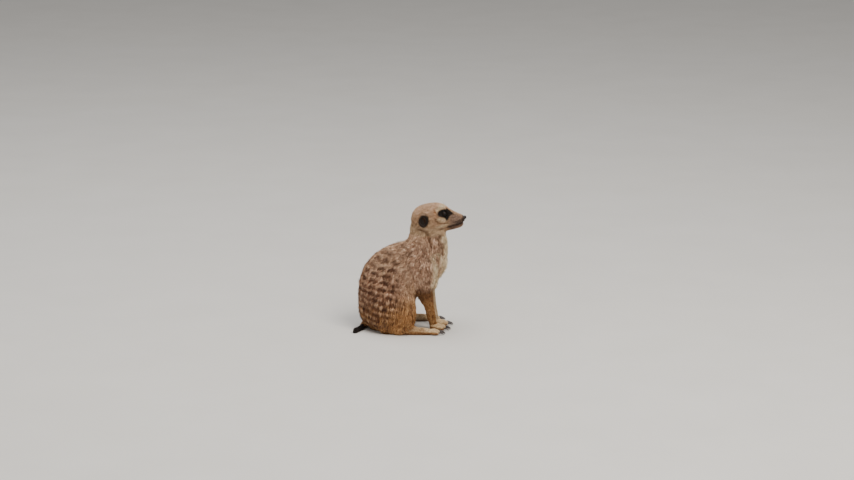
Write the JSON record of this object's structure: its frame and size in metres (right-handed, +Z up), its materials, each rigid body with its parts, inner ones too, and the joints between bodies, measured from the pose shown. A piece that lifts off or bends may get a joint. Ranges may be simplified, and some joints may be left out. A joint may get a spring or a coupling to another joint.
{
  "type": "meerkat model",
  "caption": "Life-size still model of a meerkat sitting on its haunches, body upright on straight forelegs, head turned to the front, tail curled on the floor behind it.",
  "frame": {"origin": "on the floor under the rump, in the body's middle plane, on the flat that the animal sits on", "axes": "+X is the way the animal faces, +Y its left, +Z up"},
  "size_m": [0.1639, 0.1394, 0.1847],
  "materials": {
    "coat": "short dense fur, grizzled, with darker bands over the back",
    "legs": "very short ochre fur",
    "tail_tip": "short near-black fur",
    "ear": "short black fur on thin skin",
    "eye": "glossy",
    "nose": "moist, finely pebbled",
    "claw": "smooth horn"
  },
  "bodies": {
    "root": {"head": "coat", "jaw": "coat", "neck": "coat", "trunk": "coat", "thigh_left": "coat", "thigh_right": "coat", "upper_arm_left": "coat", "upper_arm_right": "coat", "forearm_left": "legs", "forearm_right": "legs", "hind_foot_left": "legs", "hind_foot_right": "legs", "forepaw_left": "legs", "forepaw_right": "legs", "tail_root": "coat", "tail_bend_out": "coat", "tail_bend_back": "coat", "tail_end": "coat", "tail_tip": "tail_tip", "ear_left": "ear", "ear_right": "ear", "eye_left": "eye", "eye_right": "eye", "nose": "nose", "hind_claw_left_1": "claw", "hind_claw_left_2": "claw", "hind_claw_left_3": "claw", "hind_claw_left_4": "claw", "fore_claw_left_1": "claw", "fore_claw_left_2": "claw", "fore_claw_left_3": "claw", "fore_claw_left_4": "claw", "hind_claw_right_1": "claw", "hind_claw_right_2": "claw", "hind_claw_right_3": "claw", "hind_claw_right_4": "claw", "fore_claw_right_1": "claw", "fore_claw_right_2": "claw", "fore_claw_right_3": "claw", "fore_claw_right_4": "claw"}
  },
  "joints": []
}
